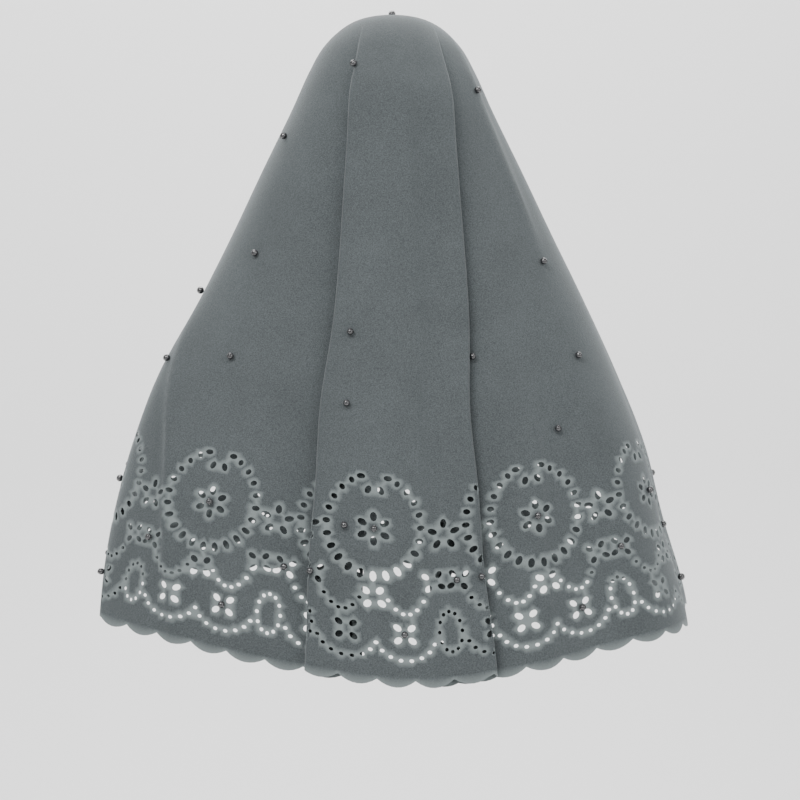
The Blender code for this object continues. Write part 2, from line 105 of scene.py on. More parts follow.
# %% The table of sections and the hem's reach
# Columns: way down, drop of HEIGHT, left and right of HALF_WIDTH, back of BACK_DEPTH, front of
# FRONT_DEPTH, and squareness
SECTIONS = [
    (0.000, 0.000, 0.000, 0.000, 0.000, 0.000, 2.0),
    (0.072, 0.013, 0.150, 0.150, 0.290, 0.280, 2.0),
    (0.126, 0.050, 0.242, 0.242, 0.450, 0.450, 2.0),
    (0.165, 0.086, 0.287, 0.287, 0.520, 0.520, 2.1),
    (0.219, 0.143, 0.345, 0.345, 0.590, 0.570, 2.1),
    (0.297, 0.229, 0.439, 0.439, 0.630, 0.600, 2.2),
    (0.400, 0.343, 0.561, 0.561, 0.660, 0.650, 2.4),
    (0.479, 0.429, 0.660, 0.655, 0.700, 0.710, 2.7),
    (0.588, 0.549, 0.803, 0.774, 0.780, 0.820, 3.0),
    (0.690, 0.660, 0.887, 0.868, 0.850, 0.900, 3.3),
    (0.792, 0.771, 0.945, 0.926, 0.910, 0.950, 3.5),
    (0.897, 0.886, 1.000, 1.000, 0.960, 0.980, 3.6),
    (1.000, 1.000, 1.040, 1.040, 1.000, 1.000, 3.6),
]

# Columns: share round from the middle of the back, and how far down the form the hem reaches
HEM_REACH = [
    (-0.50, 0.870),
    (-0.25, 0.905),
    (-0.14, 0.940),
    (-0.05, 0.982),
    (0.02, 1.000),
    (0.07, 0.985),
    (0.14, 0.950),
    (0.25, 0.920),
    (0.50, 0.870),
]

# %% [markdown]
# ## Pleats, ridges and waves
# At the back a panel of cloth lies over the cloth beside it: on each side of the panel the cloth turns
# under, runs back a hand's breadth and turns out again. A smaller pleat of the same kind closes the left
# side. Ridges are folds that only stand up from the form, and the waves are what the hem does by itself.

# %% The tables of folds
# Columns: side, edge at the crown and at the hem as shares of HALF_WIDTH, tuck, way down where it
# starts, and the share of HALF_WIDTH over which the cloth comes back out behind it
PLEATS = [
    (-1, 0.087, 0.290, PANEL_TUCK, 0.05, 0.0),
    (-1, 1.010, 1.060, SIDE_TUCK, 0.47, 0.4),
    (1, 0.148, 0.335, PANEL_TUCK, 0.05, 0.0),
]

# Columns: place at the crown and at the hem as shares of HALF_WIDTH, way down where the ridge starts
# and ends, height as a share of RIDGE_HEIGHT, and its reach to the left and to the right
RIDGES = [
    (0.020, 0.135, 0.04, 1.10, 1.0, 0.160, 0.040),
    (0.180, 0.960, 0.06, 0.50, 0.7, 0.120, 0.060),
    (-0.820, -0.740, 0.50, 1.10, 0.8, 0.050, 0.090),
    (0.440, 0.510, 0.55, 1.10, 0.7, 0.060, 0.040),
]

# Columns: waves in the whole round, phase as a share of one wave, and share of WAVE_HEIGHT
WAVES = [
    (11, 0.10, 1.0),
    (17, 0.45, 0.5),
]

# %% [markdown]
# ## Reading the form
# The form is worked out once as a grid of points, evenly spaced round each row, with the way that the
# cloth faces at each of them. Everything else reads places and directions from that grid.

# %% Curves and the grid of the form
FORM_ROWS = 160
FORM_STEPS = 480


def smooth(places, values, wanted):
    """Read a table of values between its rows along a smooth curve."""
    places = np.asarray(places, float)
    values = np.asarray(values, float)
    slopes = np.gradient(values, places)
    row = np.clip(np.searchsorted(places, wanted) - 1, 0, len(places) - 2)
    step = places[row + 1] - places[row]
    share = np.clip((wanted - places[row]) / step, 0, 1)
    rest = 1 - share
    return (
        values[row] * (1 + 2 * share) * rest**2
        + values[row + 1] * (1 + 2 * rest) * share**2
        + step * slopes[row] * share * rest**2
        - step * slopes[row + 1] * rest * share**2
    )


def fade(value):
    """Go smoothly from 0 to 1 as the value does."""
    value = np.clip(value, 0, 1)
    return value * value * (3 - 2 * value)


def form_point(way, turn):
    """The form before pleats, at a way down and a direction round from the back."""
    rows = [list(row) for row in SECTIONS]
    mirrored = [-rows[1][0], rows[1][1]] + [-size for size in rows[1][2:6]] + [rows[1][6]]
    columns = list(zip(*([mirrored] + rows)))
    drop, left, right, back, front, square = [smooth(columns[0], column, way) for column in columns[1:]]
    wide = np.maximum(np.where(turn < 0, left, right) * HALF_WIDTH, 1e-6)
    deep = np.maximum(np.where(np.cos(turn) > 0, back * BACK_DEPTH, front * FRONT_DEPTH), 1e-6)
    out = (np.abs(np.sin(turn)) / wide) ** square + (np.abs(np.cos(turn)) / deep) ** square
    out = out ** (-1 / square)
    return np.stack([-out * np.sin(turn), out * np.cos(turn), -HEIGHT * drop], axis=-1)


def shares_along(points):
    """How far along its path each point lies, as a share, and the path's length."""
    steps = np.linalg.norm(np.diff(points, axis=0), axis=1)
    along = np.concatenate([[0], np.cumsum(steps)])
    return along / along[-1], along[-1]


class Form:
    """The hung form before pleats, as rows of points evenly spaced round the cloth."""

    def __init__(self):
        turns = np.linspace(-math.pi, math.pi, 2 * FORM_STEPS + 1)
        round_shares, _ = shares_along(form_point(np.ones_like(turns), turns)[:, :2])
        reach_table = list(zip(*HEM_REACH))
        reach = smooth(reach_table[0], reach_table[1], round_shares - 0.5)
        wanted = np.linspace(0, 1, FORM_STEPS + 1)
        rows = []
        lengths = []
        for way in np.linspace(0, 1, FORM_ROWS + 1):
            row = form_point(way * reach + 1e-9, turns)
            shares, length = shares_along(row)
            rows.append(np.stack([np.interp(wanted, shares, row[:, axis]) for axis in range(3)], axis=-1))
            lengths.append(length)
        self.points = np.array(rows)
        self.lengths = np.array(lengths)
        around = np.gradient(self.points, axis=1)
        around[:, 0] = around[:, -1] = (self.points[:, 1] - self.points[:, -2]) / 2
        down = np.gradient(self.points, axis=0)
        normals = np.cross(down, around)
        normals[0] = (0, 0, 1)
        self.normals = normals / np.maximum(np.linalg.norm(normals, axis=-1, keepdims=True), 1e-12)

    def length(self, way):
        return np.interp(way * FORM_ROWS, np.arange(FORM_ROWS + 1), self.lengths)

    def read(self, grid, share, way):
        """Read a grid of the form between its points."""
        row = np.clip(way, 0, 1) * FORM_ROWS
        step = np.clip(share + 0.5, 0, 1) * FORM_STEPS
        r = np.minimum(row.astype(int), FORM_ROWS - 1)
        s = np.minimum(step.astype(int), FORM_STEPS - 1)
        fr = (row - r)[:, None]
        fs = (step - s)[:, None]
        upper = grid[r, s] * (1 - fs) + grid[r, s + 1] * fs
        lower = grid[r + 1, s] * (1 - fs) + grid[r + 1, s + 1] * fs
        return upper * (1 - fr) + lower * fr


form = Form()
print("round the hem, before pleats:", round(float(form.lengths[-1]), 3), "m")

# %% [markdown]
# ## Draping the flat cloth
# A pleat is two half turns with a flat run between them, so its shape is worked out exactly, and the
# cloth in it keeps its length. The drape takes any place of the flat cloth and says where it lies.

# %% Pleats and the drape


class Pleat:
    """One pleat: the cloth turns under, runs back towards the middle, and turns out again."""

    def __init__(self, row):
        self.side, self.top_edge, self.hem_edge, self.tuck, self.start, self.comes_back = row

    def sizes(self, way):
        """Edge, turn radius, turn angle and run of the pleat at a way down the cloth."""
        open_share = np.clip((way - self.start) / (1 - self.start), 0, 1)
        edge = (self.top_edge + (self.hem_edge - self.top_edge) * way) * HALF_WIDTH
        angle = math.pi * fade(open_share * PLEAT_OPENS)
        radius = np.full_like(angle, PLEAT_TURN)
        run_share = np.clip((open_share - TUCK_LAG) / (1 - TUCK_LAG), 0, 1)
        run = self.tuck * (1 - (1 - run_share) ** 2)
        return edge, radius, angle, run

    def hidden(self, way):
        """Length of cloth that the pleat takes up, beyond the stretch that it covers."""
        _, radius, angle, run = self.sizes(way)
        used = 2 * radius * angle + run
        return used - (2 * radius * np.sin(angle) + run * np.cos(angle))

    def sink(self, way):
        """How far in the cloth lies behind the pleat."""
        _, radius, angle, run = self.sizes(way)
        return 2 * radius * (1 - np.cos(angle)) + run * np.sin(angle)

    def begins(self, way):
        """Place on the form where the cloth starts to turn under."""
        edge, radius, angle, _ = self.sizes(way)
        return edge - radius * np.sin(np.minimum(angle, math.pi / 2))

    def fold(self, past, way):
        """Shift along the form and sink into it, for cloth this far past the pleat's beginning."""
        _, radius, angle, run = self.sizes(way)
        turn = radius * angle
        first = np.clip(past, 0, turn)
        middle = np.clip(past - turn, 0, run)
        last = np.clip(past - turn - run, 0, turn)
        safe = np.maximum(radius, 1e-9)
        bent = first / safe
        unbent = angle - last / safe
        forward = radius * np.sin(bent) + middle * np.cos(angle)
        forward = forward + radius * (np.sin(angle) - np.sin(unbent))
        sunk = radius * (1 - np.cos(bent)) + middle * np.sin(angle)
        sunk = sunk + radius * (np.cos(unbent) - np.cos(angle))
        return forward - (first + middle + last), sunk


class Drape:
    """Where each place of the flat cloth lies once it is worn."""

    def __init__(self):
        self.pleats = {side: [Pleat(row) for row in PLEATS if row[0] == side] for side in (-1, 1)}
        self.repeats = {-1: BACK_MIDDLE - SEAM_LEFT, 1: SEAM_RIGHT - BACK_MIDDLE}

    def half_length(self, side, way):
        """Length of the cloth from the middle of the back to the front seam."""
        return form.length(way) / 2 + sum(pleat.hidden(way) for pleat in self.pleats[side])

    def bends(self, side, way, steps):
        """The repeats at which the pleats of one side bend a row of the cloth."""
        way = np.asarray(float(way))
        scale = self.repeats[side] / float(self.half_length(side, way))
        taken = 0
        places = []
        for pleat in self.pleats[side]:
            _, radius, angle, run = (float(size) for size in pleat.sizes(way))
            begin = float(pleat.begins(way)) + taken
            turn = radius * angle
            for first in (begin, begin + turn + run):
                for step in range(steps + 1):
                    places.append(BACK_MIDDLE + side * scale * (first + turn * step / steps))
            taken += float(pleat.hidden(way))
        return places

    def lift(self, across, way):
        """Height of the ridges and waves over the form."""
        total = np.zeros_like(across)
        for top, hem, start, end, height, left, right in RIDGES:
            middle = (top + (hem - top) * way) * HALF_WIDTH
            reach = np.where(across < middle, left, right) * HALF_WIDTH
            strength = fade((way - start) / RIDGE_STARTS) * fade((end - way) / RIDGE_ENDS)
            slope = np.clip(1 - np.abs(across - middle) / reach, 0, 1)
            total += RIDGE_HEIGHT * height * strength * slope**2
        share = across / form.length(way)
        for waves, phase, height in WAVES:
            swing = np.cos(2 * math.pi * (waves * share + phase))
            total += WAVE_HEIGHT * height * fade((way - WAVES_START) / (1 - WAVES_START)) * swing
        return total

    def place(self, repeat, way):
        """The worn place of the flat cloth's points, given in repeats and way down."""
        repeat = np.asarray(repeat, float)
        way = np.asarray(way, float)
        across = np.zeros_like(repeat)
        raised = np.zeros_like(repeat)
        for side in (-1, 1):
            here = (repeat >= BACK_MIDDLE) if side > 0 else (repeat < BACK_MIDDLE)
            down = way[here]
            cloth = np.abs(repeat[here] - BACK_MIDDLE) * self.half_length(side, down) / self.repeats[side]
            out = cloth.copy()
            height = self.pleats[side][0].sink(down)
            taken = np.zeros_like(down)
            for pleat in self.pleats[side]:
                past = cloth - pleat.begins(down) - taken
                shift, sunk = pleat.fold(past, down)
                out += shift
                height -= sunk
                if pleat.comes_back:
                    behind = past - pleat.hidden(down)
                    height += pleat.sink(down) * fade(behind / (pleat.comes_back * HALF_WIDTH))
                taken += pleat.hidden(down)
            across[here] = side * out
            raised[here] = height
        raised += self.lift(across, way)
        share = across / np.maximum(form.length(way), 1e-9)
        points = form.read(form.points, share, way)
        normals = form.read(form.normals, share, way)
        settled = fade(way / CROWN_PLAIN)[:, None]
        return points + normals * raised[:, None] * settled


drape = Drape()
ring_round = sum(float(drape.half_length(side, np.asarray(RING_WAY))) for side in (-1, 1))
print("cloth round the row of rings:", round(ring_round, 3), "m")

# %% [markdown]
# ## The cut border
# The border is cut by a laser: rings of oval petals with a flower in the middle, small flowers between
# them, garlands of dots, and a narrow drop of dots. It repeats round the hem, so one repeat is charted
# in millimetres from the middle of its ring, and every hole is an oval with a place and a direction.

# %% Chart of one repeat
OVAL_SIDES = 10
DOT_SIDES = 8

holes = []


def cut(x, y, length, width, angle, sides=OVAL_SIDES):
    """Chart one oval hole. Millimetres from the ring's middle, x to the right and y down."""
    holes.append((x, y, length, width, angle, sides))


def cut_flower(x, y, petals, radius, length, width, turn):
    """Chart a flower of oval petals that point out from its middle."""
    for petal in range(petals):
        angle = math.radians(turn) + 2 * math.pi * petal / petals
        cut(x + radius * math.cos(angle), y + radius * math.sin(angle), length, width, angle)


def cut_ring():
    """The egg of petals: small at the top, long and pointing outwards at the bottom."""
    for slot in range(1, 24):
        angle = 2 * math.pi * slot / 24
        low = (1 - math.cos(angle)) / 2
        x = 44.5 * math.sin(angle)
        y = -50.5 * math.cos(angle) - 3.2
        tilt = math.atan2(y, x)
        if slot in (1, 23):
            cut(x * 1.15, y, 8.6, 5.8, 0)
        else:
            cut(x, y, 6.8 + 3.6 * low**2, 5.4 + 1.0 * low**2, tilt)
    for side in (-1, 1):
        cut(side * 6.2, -39.0, 9.0, 6.2, math.radians(90 - side * 24))


def cut_garland(x, y, half, hang, dots):
    """A string of dots that hangs between two flowers."""
    for dot in range(dots):
        share = (dot + 0.5) / dots * 2 - 1
        cut(x + half * share, y + hang * (1 - share * share), 4.2, 3.7, 0, DOT_SIDES)


def cut_smile(x, y, radius, dots):
    """An arc of dots under a flower."""
    for dot in range(dots):
        angle = math.radians(22 + 136 * dot / (dots - 1))
        cut(x + radius * 1.05 * math.cos(angle), y + radius * math.sin(angle), 4.2, 3.7, 0, DOT_SIDES)


def cut_drop(x, y, width, height, dots):
    """A narrow drop of dots, pointed at both ends."""
    for dot in range(dots):
        angle = 2 * math.pi * dot / dots
        across = x + width / 2 * math.sin(angle)
        cut(across, y - height / 2 * math.cos(angle), 4.0, 3.4, math.pi / 2, DOT_SIDES)


cut_ring()
cut_flower(0, 0, 6, 12.2, 9.6, 6.8, -92)
cut_flower(REPEAT_WIDTH * 500, 4, 5, 11.2, 9.4, 6.2, -90)
for side in (-1, 1):
    cut_flower(side * 54.5, 50.5, 4, 8.6, 7.8, 5.6, 45 - side * 10)
    cut_garland(side * 28.5, 64, 19, 19, 6)
    cut_flower(side * 25.5, 102.5, 4, 8.8, 8.2, 6.0, 45)
    cut_smile(side * 25.5, 102.5, 26, 8)
cut_flower(0, 68, 4, 9.0, 8.4, 6.6, 40)
cut_drop(REPEAT_WIDTH * 500, 101, 20, 40, 12)
print("holes in one repeat:", len(holes))

# %% [markdown]
# ## Cutting and triangulating the flat cloth
# The cloth is cut while it is flat and only then draped, as the real one was. Blender's constrained
# triangulation takes the outline, the outlines of all the holes and the lines of the bends, and joins
# them to a lattice of points. A Boolean with a thousand cutters on the draped cloth would be slow and
# rough, and would cut slanting walls.

# %% Outline, holes and lattice of points
FAN_ANGLE = 2.6
BEND_STEPS = 6
FINE_STEP = 0.0050
COARSE_STEP = 0.0078
FINE_FROM = RING_WAY - 0.075 / CLOTH_LENGTH
ROW_SPACING = 0.9
HEM_STEPS = 8
FACE_STEPS = 40
BEND_CLEARANCE = 0.008
SEAM_CLEARANCE = 0.004
HOLES_FROM_SEAM = 0.05
CUT_CLEARANCE = 0.0028
LINE_CLEARANCE = 0.0022


def flat(repeat, way):
    """The flat cloth spread like a fan, as a place on a plane."""
    angle = (repeat - BACK_MIDDLE) / REPEATS * FAN_ANGLE
    return (way * CLOTH_LENGTH * math.sin(angle), way * CLOTH_LENGTH * math.cos(angle))


def unflat(points):
    """The repeats and ways down of places on the spread cloth."""
    way = np.hypot(points[:, 0], points[:, 1]) / CLOTH_LENGTH
    angle = np.arctan2(points[:, 0], points[:, 1])
    return BACK_MIDDLE + angle / FAN_ANGLE * REPEATS, way


def hem_way(repeat):
    """Way down of the scalloped edge, which is lowest in the middle of each scallop."""
    scallop = (repeat - SEAM_LEFT) * SCALLOPS_PER_REPEAT
    off_middle = 2 * abs(scallop - math.floor(scallop) - 0.5)
    return 1 - SCALLOP_DEPTH / CLOTH_LENGTH * off_middle**2


def row_ways():
    """Rows of the lattice, closer together in the border."""
    ways = [COARSE_STEP / CLOTH_LENGTH]
    last = 1 - 1.5 * SCALLOP_DEPTH / CLOTH_LENGTH
    while ways[-1] < last:
        step = FINE_STEP if ways[-1] > FINE_FROM else COARSE_STEP
        ways.append(ways[-1] + step / CLOTH_LENGTH * ROW_SPACING)
    ways[-1] = last
    return ways


def face_edge(side, steps):
    """One half of the face opening's edge, from its top to its bottom."""
    top = FACE_TOP / CLOTH_LENGTH
    bottom = FACE_BOTTOM / CLOTH_LENGTH
    seam = SEAM_RIGHT if side > 0 else SEAM_LEFT
    edge = []
    for step in range(steps + 1):
        angle = math.pi * step / steps
        way = (top + bottom) / 2 - (bottom - top) / 2 * math.cos(angle)
        size = FACE_WIDTH / 2 * math.sin(angle)
        repeats = size * drape.repeats[side] / float(drape.half_length(side, np.asarray(way)))
        edge.append((seam - side * repeats, way))
    return edge


def outline(ways):
    """The edge of the flat cloth, round from the crown and back."""
    def seam(side):
        where = SEAM_RIGHT if side > 0 else SEAM_LEFT
        edge = face_edge(side, FACE_STEPS)
        above = [(where, way) for way in ways if way < edge[0][1] - SEAM_CLEARANCE]
        below = [(where, way) for way in ways if way > edge[-1][1] + SEAM_CLEARANCE]
        return above + edge + below

    bends = [bend for side in (-1, 1) for bend in drape.bends(side, 1.0, BEND_STEPS)]
    steps = REPEATS * SCALLOPS_PER_REPEAT * HEM_STEPS
    evenly = [SEAM_RIGHT - step / HEM_STEPS / SCALLOPS_PER_REPEAT for step in range(steps + 1)]
    evenly = [place for place in evenly if all(abs(place - bend) > BEND_CLEARANCE for bend in bends)]
    hem = [(repeat, hem_way(repeat)) for repeat in sorted(evenly + bends, reverse=True)]
    return [(BACK_MIDDLE, 0.0)] + seam(1) + hem + seam(-1)[::-1]


def border_holes():
    """Every hole of the border, as corners in repeats and ways down, clear of the seam."""
    made = []
    for repeat in range(math.floor(SEAM_LEFT), math.ceil(SEAM_RIGHT) + 1):
        for x, y, length, width, angle, sides in holes:
            corners = []
            for corner in range(sides):
                turn = 2 * math.pi * corner / sides
                along = length / 2 * math.cos(turn)
                wide = width / 2 * math.sin(turn)
                px = x + along * math.cos(angle) - wide * math.sin(angle)
                py = y + along * math.sin(angle) + wide * math.cos(angle)
                corners.append((repeat + px / 1000 / REPEAT_WIDTH, RING_WAY + py / 1000 / CLOTH_LENGTH))
            first, last = SEAM_LEFT + HOLES_FROM_SEAM, SEAM_RIGHT - HOLES_FROM_SEAM
            if all(first < corner[0] < last for corner in corners):
                made.append(corners)
    return made


def bend_lines(ways):
    """Lines of points that follow the bends of the pleats down the cloth."""
    lines = []
    for side in (-1, 1):
        rows = {way: drape.bends(side, way, BEND_STEPS) for way in ways}
        per_pleat = 2 * (BEND_STEPS + 1)
        for index in range(len(drape.pleats[side]) * per_pleat):
            pleat = drape.pleats[side][index // per_pleat]
            shown = [way for way in ways if float(pleat.sizes(np.asarray(way))[2]) > 0.35]
            lines.append([(rows[way][index], way) for way in shown])
    return lines


def lattice(ways):
    """Points spread evenly over the cloth, shifted by half a step on every second row."""
    points = []
    for number, way in enumerate(ways):
        length = sum(float(drape.half_length(side, np.asarray(way))) for side in (-1, 1))
        step = FINE_STEP if way > FINE_FROM else COARSE_STEP
        count = max(6, round(length / step))
        shift = 0.5 * (number % 2)
        for column in range(count):
            share = (column + 0.5 + shift) / (count + 0.5)
            points.append((SEAM_LEFT + REPEATS * share, way))
    return points


def in_face(repeat, way):
    """Whether a point lies in the face opening or close to its edge."""
    side = 1 if repeat > BACK_MIDDLE else -1
    seam = SEAM_RIGHT if side > 0 else SEAM_LEFT
    to_seam = abs(seam - repeat) / drape.repeats[side] * float(drape.half_length(side, np.asarray(way)))
    middle = (FACE_TOP + FACE_BOTTOM) / 2 / CLOTH_LENGTH
    half = (FACE_BOTTOM - FACE_TOP) / 2 / CLOTH_LENGTH
    return (to_seam / (FACE_WIDTH / 2)) ** 2 + ((way - middle) / half) ** 2 < 1


def mesh_flat_cloth():
    """Triangles of the flat cloth with its holes left out, and which of its points lie on a cut edge."""
    ways = row_ways()
    edge = outline(ways)
    cut_outlines = border_holes()
    lines = bend_lines(ways)
    points = list(edge)
    faces = [list(range(len(edge)))]
    for corners in cut_outlines:
        faces.append(list(range(len(points), len(points) + len(corners))))
        points += corners
    cut_count = len(points)
    edges = []
    for line in lines:
        first = len(points)
        points += line
        edges += [(first + step, first + step + 1) for step in range(len(line) - 1)]
    flats = [flat(*point) for point in points]
    tree = KDTree(len(flats))
    for number, place in enumerate(flats):
        tree.insert((*place, 0), number)
    tree.balance()
    for point in lattice(ways):
        place = flat(*point)
        _, number, distance = tree.find((*place, 0))
        clear = CUT_CLEARANCE if number < cut_count else LINE_CLEARANCE
        if distance > clear and not in_face(*point):
            flats.append(place)
    vectors = [Vector(place) for place in flats]
    corners, _, triangles, sources, _, inside = delaunay_2d_cdt(vectors, edges, faces, 0, 1e-6)
    kept = [triangle for triangle, owners in zip(triangles, inside) if set(owners) == {0}]
    on_cut = np.array([1.0 if any(number < cut_count for number in source) else 0.0 for source in sources])
    return np.array([corner[:] for corner in corners]), kept, on_cut


flat_points, flat_triangles, on_cut = mesh_flat_cloth()
print("flat cloth:", len(flat_points), "points and", len(flat_triangles), "triangles")

# %% [markdown]
# ## The crepe
# Crepe is woven from tightly twisted yarn, which pulls the cloth into a fine pebbled grain. It is matt,
# with a faint sheen where it curves away, and its cut edges are coloured a little paler. The grain
# comes from noise on Object coordinates, so that it is the same size everywhere, and the cut edges from
# an attribute that the mesh carries.

# %% Material of the crepe


def new_material(name):
    """A material with an empty tree but for its output and its Principled shader."""
    made = bpy.data.materials.new(name)
    made.use_nodes = True
    return made, made.node_tree.nodes, made.node_tree.links, made.node_tree.nodes["Principled BSDF"]


def add_noise(nodes, links, coordinates, scale, detail, roughness=0.6):
    """A noise texture on the given coordinates."""
    noise = nodes.new("ShaderNodeTexNoise")
    noise.inputs["Scale"].default_value = scale
    noise.inputs["Detail"].default_value = detail
    noise.inputs["Roughness"].default_value = roughness
    links.new(coordinates, noise.inputs["Vector"])
    return noise


def add_ramp(nodes, links, value, low, high, dark, light):
    """A colour ramp from dark to light between two values."""
    ramp = nodes.new("ShaderNodeValToRGB")
    ramp.color_ramp.elements[0].position = low
    ramp.color_ramp.elements[0].color = (*dark, 1)
    ramp.color_ramp.elements[1].position = high
    ramp.color_ramp.elements[1].color = (*light, 1)
    links.new(value, ramp.inputs["Fac"])
    return ramp


def crepe_material():
    """Matt charcoal crepe with a pebbled grain and paler cut edges."""
    made, nodes, links, shader = new_material("crepe")
    place = nodes.new("ShaderNodeTexCoord").outputs["Object"]
    grain = add_noise(nodes, links, place, 900, 3, 0.7)
    pebble = add_noise(nodes, links, place, 420, 2)
    patch = add_noise(nodes, links, place, 14, 3)
    dark, light = (0.030, 0.036, 0.038), (0.066, 0.075, 0.078)
    dyed = add_ramp(nodes, links, grain.outputs["Fac"], 0.36, 0.66, dark, light)
    worn = add_ramp(nodes, links, patch.outputs["Fac"], 0.3, 0.7, (0.90, 0.90, 0.90), (1.08, 1.08, 1.08))
    mottled = nodes.new("ShaderNodeMix")
    mottled.data_type = "RGBA"
    mottled.blend_type = "MULTIPLY"
    mottled.inputs["Factor"].default_value = 1
    links.new(dyed.outputs["Color"], mottled.inputs["A"])
    links.new(worn.outputs["Color"], mottled.inputs["B"])
    cut_edge = nodes.new("ShaderNodeAttribute")
    cut_edge.attribute_name = "cut_edge"
    rim = nodes.new("ShaderNodeMix")
    rim.data_type = "RGBA"
    rim.inputs["B"].default_value = (0.13, 0.15, 0.15, 1)
    links.new(cut_edge.outputs["Fac"], rim.inputs["Factor"])
    links.new(mottled.outputs["Result"], rim.inputs["A"])
    links.new(rim.outputs["Result"], shader.inputs["Base Color"])
    relief = nodes.new("ShaderNodeMath")
    relief.operation = "ADD"
    links.new(grain.outputs["Fac"], relief.inputs[0])
    links.new(pebble.outputs["Fac"], relief.inputs[1])
    bump = nodes.new("ShaderNodeBump")
    bump.inputs["Strength"].default_value = 0.55
    bump.inputs["Distance"].default_value = 0.0004
    links.new(relief.outputs["Value"], bump.inputs["Height"])
    links.new(bump.outputs["Normal"], shader.inputs["Normal"])
    shader.inputs["Roughness"].default_value = 0.88
    shader.inputs["Specular IOR Level"].default_value = 0.25
    shader.inputs["Sheen Weight"].default_value = 0.25
    shader.inputs["Sheen Roughness"].default_value = 0.5
    shader.inputs["Sheen Tint"].default_value = (0.75, 0.82, 0.84, 1)
    made.diffuse_color = (0.045, 0.052, 0.055, 1)
    return made


crepe = crepe_material()
print("material:", crepe.name)

# %% [markdown]
# ## The worn cloth
# The flat mesh is draped point by point, sewn up along the front seam by merging its two edges, and given
# its thickness by a Solidify modifier, which is then applied. The flat place of each point is kept as a
# UV map.

# %% Drape, sew and thicken


def make_cloth():
    """The worn cloth as one closed wall, and its middle surface for what is sewn on."""
    repeats, ways = unflat(flat_points)
    ways[np.hypot(flat_points[:, 0], flat_points[:, 1]) < 1e-9] = 0
    worn = drape.place(repeats, ways)
    shape = bmesh.new()
    rim = shape.verts.layers.float.new("cut_edge")
    corners = []
    for point, cut_here in zip(worn, on_cut):
        corner = shape.verts.new(point)
        corner[rim] = cut_here
        corners.append(corner)
    for triangle in flat_triangles:
        shape.faces.new([corners[index] for index in triangle])
    spread = shape.loops.layers.uv.new("flat_cloth")
    shape.verts.index_update()
    for face in shape.faces:
        for loop in face.loops:
            number = loop.vert.index
            loop[spread].uv = (repeats[number] * REPEAT_WIDTH, ways[number] * CLOTH_LENGTH)
    bmesh.ops.delete(shape, geom=[corner for corner in shape.verts if not corner.link_faces], context="VERTS")
    bmesh.ops.remove_doubles(shape, verts=shape.verts[:], dist=0.00002)
    bmesh.ops.recalc_face_normals(shape, faces=shape.faces[:])
    highest = max(shape.faces, key=lambda face: face.calc_center_median().z)
    if highest.normal.z < 0:
        bmesh.ops.reverse_faces(shape, faces=shape.faces[:])
    tree = BVHTree.FromBMesh(shape)
    mesh = bpy.data.meshes.new("scarf_cloth_worn")
    shape.to_mesh(mesh)
    shape.free()
    mesh.shade_smooth()
    cloth = bpy.data.objects.new("crepe_veil", mesh)
    bpy.context.scene.collection.objects.link(cloth)
    wall = cloth.modifiers.new("wall", "SOLIDIFY")
    wall.thickness = CLOTH_THICKNESS
    wall.offset = 0
    wall.use_even_offset = True
    return cloth, tree


def apply_modifiers(piece):
    """Turn a piece's live modifiers into its plain mesh."""
    ready = piece.evaluated_get(bpy.context.evaluated_depsgraph_get())
    mesh = bpy.data.meshes.new_from_object(ready)
    piece.modifiers.clear()
    old = piece.data
    piece.data = mesh
    if old.users == 0 and isinstance(old, bpy.types.Mesh):
        bpy.data.meshes.remove(old)


veil, veil_tree = make_cloth()
apply_modifiers(veil)
veil.data.materials.clear()
veil.data.materials.append(crepe)
veil.data.shade_smooth()
veil.data.set_sharp_from_angle(angle=math.radians(62))
print("worn cloth:", len(veil.data.polygons), "faces")

# %% [markdown]
# ## Beads
# Each bead is a polished black ball, drilled and held by a thread through it. Points are set on the
# cloth, and Geometry Nodes puts a ball and its thread on each of them, turned to stand on the cloth.

# %% Where the beads sit


SEAT_STEP = 0.004
GARLAND_OUT = 0.0255
GARLAND_DOWN = 0.1025


def seat_on_cloth(repeat, way):
    """The middle of a bead on the cloth at a flat place, and the way that the cloth faces there."""
    near = [(0, 0), (SEAT_STEP, 0), (0, SEAT_STEP)]
    spots = drape.place(
        np.array([repeat + out / REPEAT_WIDTH for out, _ in near]),
        np.array([way + down / CLOTH_LENGTH for _, down in near]),
    )
    seat, beside, below = (Vector(spot) for spot in spots)
    out = (below - seat).cross(beside - seat).normalized()
    return seat + out * (CLOTH_THICKNESS / 2 + SEAT_GAP + BEAD_DIAMETER / 2), out


def bead_seats():
    """Middles and directions of all the beads: those of the solid model, then those of the garlands."""
    seats = []
    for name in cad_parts:
        if name != "scarf_cloth":
            low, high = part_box(name)
            middle = (Vector(low) + Vector(high)) / 2
            spot, normal, _, _ = veil_tree.find_nearest(middle)
            away = middle - spot
            seats.append((middle, away.normalized() if away.length > 0.001 else normal))
    for repeat in range(math.ceil(SEAM_LEFT), math.ceil(SEAM_RIGHT)):
        place = repeat + GARLAND_OUT / REPEAT_WIDTH
        seats.append(seat_on_cloth(place, RING_WAY + GARLAND_DOWN / CLOTH_LENGTH))
    return seats


seats = bead_seats()
print("beads:", len(seats))

# %% Material of the beads


